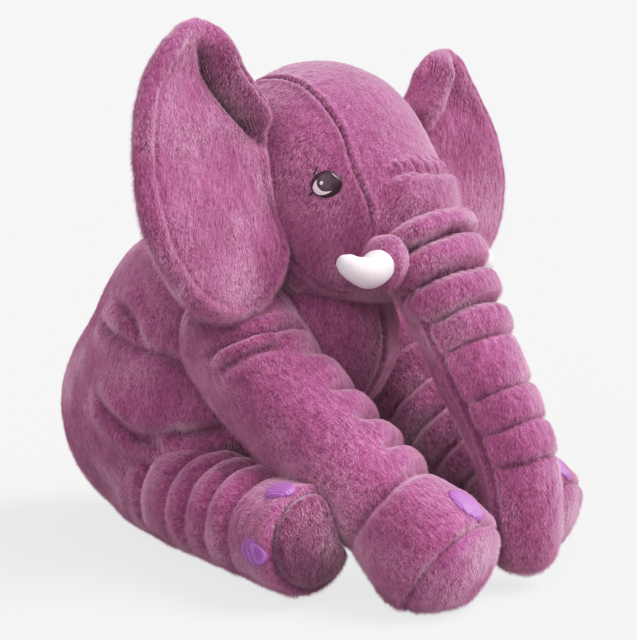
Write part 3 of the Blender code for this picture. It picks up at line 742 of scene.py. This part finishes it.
def patch(name, place, material, rings=14, around=48, thick=0.0018, edge=0.0006):
    """A thin sewn-on patch. place(u, v) gives surface points and normals for a unit disc."""
    r = np.linspace(0, 1, rings)
    a = np.linspace(0, math.tau, around, endpoint=False)
    rr, aa = np.meshgrid(r, a, indexing="ij")
    p, n = place((rr * np.cos(aa)).ravel(), (rr * np.sin(aa)).ravel())
    n = n / np.linalg.norm(n, axis=1)[:, None]
    crown = thick * (1 - rr.ravel() ** 6) + edge
    top = p + n * crown[:, None]
    bottom = p - n * 0.0008
    ids = np.arange(rings * around).reshape(rings, around)
    nxt = np.roll(ids, -1, axis=1)
    up = np.stack([ids[:-1], ids[1:], nxt[1:], nxt[:-1]], axis=-1).reshape(-1, 4)
    down = up[:, ::-1] + rings * around
    rim = np.stack([ids[-1], ids[-1] + rings * around, nxt[-1] + rings * around, nxt[-1]], axis=-1)
    s = Shape(np.vstack([top, bottom]), [up, down, rim])
    return s.mesh(name, material)


def make_toe(s, name, body, angle, at, front):
    radius = 0.046
    half_width, half_length = (0.0098, 0.0165) if front else (0.0120, 0.0130)

    def place(u, v):
        return sample(s, angle + u * half_width / radius * (1 - 0.15 * v), at + v * half_length)

    toe = patch(f"{name}_skin", place, RIBBON)
    settle(toe, body, [name])


def make_ear(side_name):
    side = SIDES[side_name]
    outline = [
        (0.169, 0.443), (0.185, 0.436), (0.202, 0.420), (0.218, 0.398), (0.2265, 0.373), (0.2295, 0.350),
        (0.2285, 0.322), (0.223, 0.296), (0.214, 0.271), (0.198, 0.246), (0.173, 0.222), (0.146, 0.211),
        (0.124, 0.210), (0.104, 0.218), (0.092, 0.236), (0.084, 0.259), (0.083, 0.278), (0.088, 0.300),
        (0.094, 0.326), (0.096, 0.350), (0.098, 0.370), (0.102, 0.387), (0.111, 0.398), (0.121, 0.410),
        (0.130, 0.422), (0.141, 0.433), (0.153, 0.440), (0.169, 0.443),
    ]
    rim, _ = spline([(x, 0, z) for x, z in outline], 281)
    rim = rim[:-1]
    rings = 110
    middle = V([0.158, 0, 0.325])
    rho = np.linspace(0, 1, rings) ** 0.8
    flat = middle + rho[:, None, None] * (rim - middle)[None]
    x, z = flat[..., 0], flat[..., 2]
    reach = np.linalg.norm(rim - middle, axis=1)[None] * (1 - rho)[:, None]  # about the distance to the edge
    half = 0.0085 * np.sqrt(np.clip(1 - (1 - np.clip(reach / 0.014, 0, 1)) ** 2, 0, 1))
    # the leaf sweeps back on one side and forward on the other, and is cupped
    sweep = 0.11 if side < 0 else -0.24
    sheet = -0.053 + sweep * (x - 0.10)
    cup = smoothstep(0, 0.05, reach)
    sheet += 0.010 * cup * smoothstep(0.36, 0.41, z) - 0.004 * cup * smoothstep(0.34, 0.28, z)
    sheet -= 0.010 * smoothstep(0.12, 0.08, x) * smoothstep(0.30, 0.26, z)
    # the upper inner edge is folded forward into a thick roll over a deep crease
    ridge = [(0.164, 0, 0.438), (0.151, 0, 0.424), (0.142, 0, 0.409), (0.130, 0, 0.396),
             (0.117, 0, 0.384), (0.106, 0, 0.374), (0.098, 0, 0.362)]
    d, along, total = to_path(np.stack([x, 0 * x, z], -1).reshape(-1, 3), ridge)
    d, along = d.reshape(x.shape), along.reshape(x.shape)
    ends = smoothstep(-0.004, 0.030, along) * smoothstep(-0.006, 0.012, total - along)
    roll = np.sqrt(np.clip(1 - (d / 0.0120) ** 2, 0, 1)) * ends * smoothstep(0, 0.004, reach)
    outside = (z - 0.36) - (x - 0.095) * 1.15 < 0  # on the leaf's side of the roll
    gully = bump(d - 0.0150, 0.0050) * ends * outside
    front = sheet - half - (0.015 if side < 0 else 0.019) * roll + 0.010 * gully * smoothstep(0, 0.01, reach)
    back = sheet + half + 0.010 * gully - 0.004 * roll
    shift = 0.008 * smoothstep(0.34, 0.375, z) * smoothstep(0.17, 0.12, x)
    if side > 0:
        outer = smoothstep(0.12, 0.22, x)
        shift = -0.013 * smoothstep(0.36, 0.44, z) - 0.026 * bump(z - 0.395, 0.052) * outer
        shift += 0.006 * bump(z - 0.280, 0.035) * outer
    a, b = np.stack([(x + shift) * side, front, z], -1), np.stack([(x + shift) * side, back, z], -1)
    n = rim.shape[0]
    ids = np.arange(rings * n).reshape(rings, n)
    nxt = np.roll(ids, -1, axis=1)
    quads = np.stack([ids[:-1], ids[1:], nxt[1:], nxt[:-1]], axis=-1).reshape(-1, 4)
    if side > 0:
        quads = quads[:, ::-1]
    back_ids = quads[:, ::-1] + rings * n
    points = np.vstack([a.reshape(-1, 3), b.reshape(-1, 3)])
    # the two rims are one line
    last = rings * n + (rings - 1) * n
    remap = np.arange(len(points))
    remap[last:] = ids[-1]
    points[ids[-1]] = (points[ids[-1]] + points[last:]) / 2
    s = Shape(points, [quads, remap[back_ids]])
    hem = np.hstack([reach.ravel(), reach.ravel()])
    fore = np.hstack([np.ones(rings * n), np.zeros(rings * n)])
    clear = np.hstack([smoothstep(0.012, 0.024, d).ravel()] * 2)
    edge = 0.0145 if side < 0 else 0.007
    s.push((-0.0011 * bump(hem - edge, 0.0026) + 0.0010 * bump(hem - edge * 0.6, 0.004)) * clear)
    # painted shade: a faint line along the hem, a darker band along the rim, the deep gully under the roll
    # and the roll itself
    s.crease_shade = np.maximum(s.crease_shade, 0.18 * bump(hem - edge, 0.0026) * clear)
    s.crease_shade = np.maximum(s.crease_shade, 0.12 * smoothstep(edge, edge - 0.0025, hem) * clear)
    s.crease_shade = np.maximum(s.crease_shade, 0.95 * np.hstack([gully.ravel()] * 2) * fore)
    s.crease_shade = np.maximum(s.crease_shade, 0.40 * np.hstack([roll.ravel()] * 2) * fore)
    s.rest = s.p.copy()
    s.seam([(x * side, -0.075, z) for x, _, z in ridge[1:-1]], 0.0018, 0.0022, 0.001, dark=0.7)
    s.lumps(0.0020, 22, 41)
    s.pile()
    ear = s.mesh(f"ear_{side_name}_skin", PLUSH)
    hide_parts(f"ear_{side_name}_front_panel", f"ear_{side_name}_back_panel")
    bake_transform(ear)


def make_face(head):
    tree_p, tree_n = head.p, head.normals()
    centre_of = V([0, -0.045, 0.31])
    directions = (tree_p - centre_of)
    reach = np.linalg.norm(directions, axis=1)
    directions = directions / reach[:, None]

    def project(points):
        """Moves points along rays from the head's centre to its surface."""
        d = points - centre_of
        d /= np.linalg.norm(d, axis=1)[:, None]
        out_p, out_n = np.empty_like(d), np.empty_like(d)
        for k, q in enumerate(d):
            near = np.argpartition(-(directions @ q), 6)[:6]
            w = 1 / (1.00001 - directions[near] @ q) ** 1.0
            w /= w.sum()
            out_p[k] = centre_of + q * (reach[near] @ w)
            out_n[k] = w @ tree_n[near]
        return out_p, out_n / np.linalg.norm(out_n, axis=1)[:, None]

    for side_name, side in SIDES.items():
        eye = V([0.0795 * side, -0.1025, 0.3185])
        out = eye - V([0, -0.036, 0.316])
        out /= np.linalg.norm(out)
        along = np.cross(V([0, 0, 1.0]), out)
        along *= -np.sign(along[1]) / np.linalg.norm(along)  # towards the trunk
        up = np.cross(out, along)
        up *= np.sign(up[2])

        def oval(cx, cy, w, h, tilt=0.0):
            def place(u, v):
                c, t = math.cos(tilt), math.sin(tilt)
                a, b = u * w, v * h
                x, y = cx + a * c - b * t, cy + a * t + b * c
                return project(eye + x[:, None] * along + y[:, None] * up)
            return place

        shapes = (
            ("", oval(0, 0, 0.0128, 0.0108, 0.15), THREAD_BLACK, 0.0016),
            ("_white", oval(-0.0012, -0.0010, 0.0110, 0.0090, 0.15), THREAD_WHITE, 0.0019),
            ("_iris", oval(0.0010, 0.0010, 0.0108, 0.0092, 0.35), THREAD_BROWN, 0.0023),
            ("_glint", oval(-0.0036, 0.0006, 0.0017, 0.0020), THREAD_WHITE, 0.0028),
            ("_arc", oval(0.0066, 0.0062, 0.0040, 0.0006, -0.75), THREAD_WHITE, 0.0027),
            ("_lash", oval(-0.0088, 0.0108, 0.0046, 0.0006, 1.05), THREAD_BLACK, 0.0016),
            ("_corner", oval(-0.0122, -0.0078, 0.0032, 0.0008, 0.75), THREAD_BLACK, 0.0016),
        )
        for suffix, place, material, thick in shapes:
            piece = patch(f"eye_{side_name}{suffix}_thread", place, material, thick=thick)
            settle(piece, "head", [] if suffix else [f"eye_{side_name}"])

        middle = (0.057 * side, -0.143, 0.257)
        cheek = blob(middle, [(middle, (0.0160, 0.0195, 0.0225), 20)], 44, 200)
        cheek.lumps(0.0010, 60, 3)
        cheek.pile(0.0004)
        settle(cheek.mesh(f"cheek_{side_name}_skin", PLUSH_HEAD), "head", [f"cheek_{side_name}"])

        rows = [(0.060, -0.143, 0.261, 0.0110, 0.0110), (0.071, -0.1465, 0.2550, 0.0130, 0.0130),
                (0.083, -0.146, 0.2505, 0.0128, 0.0128), (0.094, -0.1415, 0.2530, 0.0104, 0.0104),
                (0.102, -0.137, 0.2585, 0.0084, 0.0084), (0.106, -0.1345, 0.2630, 0.0076, 0.0076)]
        tusk = tube([(x * side, *r) for x, *r in rows], 80, 60, (2.0, 2.0), (0.012, 0.010), (0, -0.3, 1))
        tusk.lumps(0.0005, 60, 8)
        settle(tusk.mesh(f"tusk_{side_name}_skin", VELOUR), "head", [f"tusk_{side_name}"])


def make_tail():
    cord = [(0, 0.232, 0.170, 0.0062, 0.0062), (0, 0.2470, 0.142, 0.0060, 0.0060),
            (0, 0.2510, 0.112, 0.0056, 0.0056), (0, 0.2490, 0.080, 0.0052, 0.0052)]
    s = tube(cord, 60, 24, (2, 2), (0.006, 0.006), (0, 1, 0))
    s.pile(0.0003)
    settle(s.mesh("tail_cord_skin", PLUSH), "tail", ["tail_cord"])
    tuft = [(0, 0.2490, 0.082, 0.0050, 0.0050), (0, 0.2465, 0.066, 0.0082, 0.0080),
            (0, 0.2430, 0.051, 0.0088, 0.0084), (0, 0.2390, 0.036, 0.0060, 0.0060)]
    s = tube(tuft, 60, 40, (2, 2), (0.008, 0.012), (0, 1, 0))
    s.push(0.0010 * np.sin(s.angle * 11 + s.s * 60))
    s.pile(0.0005)
    settle(s.mesh("tail_tuft_skin", PLUSH), "tail", ["tail_tuft"])


# ------------------------------------------------------------------ pile


def grow_pile(piece, length=0.0011, per_m2=1200000):
    """Real fibres over a plush piece: short, dense, leaning down, and a little uneven."""
    # the hind soles get the darker fibres with painted shade
    piece.data.materials.append(FIBRE_SHADED if "sole_hind" in piece.data.materials[0].name else FIBRE)
    area = sum(p.area for p in piece.data.polygons)
    piece.modifiers.new("pile", "PARTICLE_SYSTEM")
    system = piece.particle_systems[0]
    system.seed = 7
    hair = system.settings
    hair.type = "HAIR"
    hair.use_advanced_hair = True
    hair.count = int(area * per_m2)
    hair.hair_step = 2
    hair.render_step = 2
    hair.display_step = 2
    hair.emit_from = "FACE"
    hair.use_emit_random = True
    hair.use_even_distribution = True
    hair.hair_length = length
    hair.normal_factor = 0.00042
    hair.object_align_factor = (0, 0.0001, -0.00055)
    hair.factor_random = 0.00035
    hair.length_random = 0.5
    hair.root_radius = 0.15
    hair.tip_radius = 0.06
    hair.radius_scale = 0.001
    hair.material = 2


# ------------------------------------------------------------------ stage


def make_stage():
    data = bpy.data.meshes.new("floor")
    r = 60.0
    data.from_pydata([(-r, -r, 0), (r, -r, 0), (r, r, 0), (-r, r, 0)], [], [(0, 1, 2, 3)])
    floor = bpy.data.objects.new("floor", data)
    bpy.context.scene.collection.objects.link(floor)
    n = Nodes("floor_white")
    n.shader.inputs["Base Color"].default_value = (0.40, 0.40, 0.40, 1)
    n.shader.inputs["Roughness"].default_value = 1.0
    n.shader.inputs["Specular IOR Level"].default_value = 0.0
    # the table is lit from within, so only a faint shadow shows on it
    glow = n.add("ShaderNodeEmission", Strength=0.93)
    table = n.add("ShaderNodeBsdfDiffuse")
    table.inputs["Color"].default_value = (0.62, 0.62, 0.62, 1)
    top = n.add("ShaderNodeMixShader", Fac=0.18)
    n.link(glow.outputs[0], top.inputs[1])
    n.link(table.outputs[0], top.inputs[2])
    seen = n.add("ShaderNodeMixShader")
    n.link(n.add("ShaderNodeLightPath").outputs["Is Camera Ray"], seen.inputs["Fac"])
    n.link(n.shader.outputs[0], seen.inputs[1])
    n.link(top.outputs[0], seen.inputs[2])
    n.link(seen.outputs[0], n.tree.nodes["Material Output"].inputs["Surface"])
    data.materials.append(n.material)

    world = bpy.data.worlds.new("studio")
    world.use_nodes = True
    tree = world.node_tree
    seen = tree.nodes["Background"]
    seen.inputs["Color"].default_value = (1, 1, 1, 1)
    seen.inputs["Strength"].default_value = BACKDROP
    lit = tree.nodes.new("ShaderNodeBackground")
    lit.inputs["Color"].default_value = (1, 0.99, 1, 1)
    lit.inputs["Strength"].default_value = AMBIENT
    which = tree.nodes.new("ShaderNodeMixShader")
    tree.links.new(tree.nodes.new("ShaderNodeLightPath").outputs["Is Camera Ray"], which.inputs["Fac"])
    tree.links.new(lit.outputs[0], which.inputs[1])
    tree.links.new(seen.outputs[0], which.inputs[2])
    tree.links.new(which.outputs[0], tree.nodes["World Output"].inputs["Surface"])
    bpy.context.scene.world = world

    def sun(name, direction, power, spread):
        light = bpy.data.lights.new(name, "SUN")
        light.energy = power
        light.angle = math.radians(spread)
        obj = bpy.data.objects.new(name, light)
        obj.rotation_euler = Vector(direction).to_track_quat("-Z", "Y").to_euler()
        bpy.context.scene.collection.objects.link(obj)

    sun("key", (-0.44, 0.76, -0.94), 3.9, 45)
    sun("side", (0.88, 0.42, -0.50), 1.1, 50)

    target = Vector((0, -0.035, 0.201))
    along_floor = Vector((-math.sin(CAMERA_AZIMUTH), -math.cos(CAMERA_AZIMUTH), 0)) * CAMERA_DISTANCE
    place = target + along_floor + Vector((0, 0, CAMERA_RISE))
    camera = bpy.data.cameras.new("camera")
    camera.sensor_width = 36
    camera.lens = CAMERA_LENS
    obj = bpy.data.objects.new("camera", camera)
    obj.location = place
    obj.rotation_euler = (target - place).to_track_quat("-Z", "Y").to_euler()
    bpy.context.scene.collection.objects.link(obj)
    bpy.context.scene.camera = obj
    view = bpy.context.scene.view_settings
    view.view_transform = "Standard"
    view.use_curve_mapping = True
    for point in ((0.10, 0.078), (0.45, 0.49), (BACKDROP, BACKDROP)):
        view.curve_mapping.curves[3].points.new(*point)
    view.curve_mapping.update()


make_stage()
make_torso()
head = make_head()
make_trunk()
for name in SIDES:
    skin = make_leg("front", name, None)
    make_leg("hind", name, skin)
    make_ear(name)
make_face(head)
make_tail()

for piece in list(bpy.data.objects):
    if piece.type == "MESH" and piece.data.materials and piece.data.materials[0].name.startswith("plush"):
        grow_pile(piece)
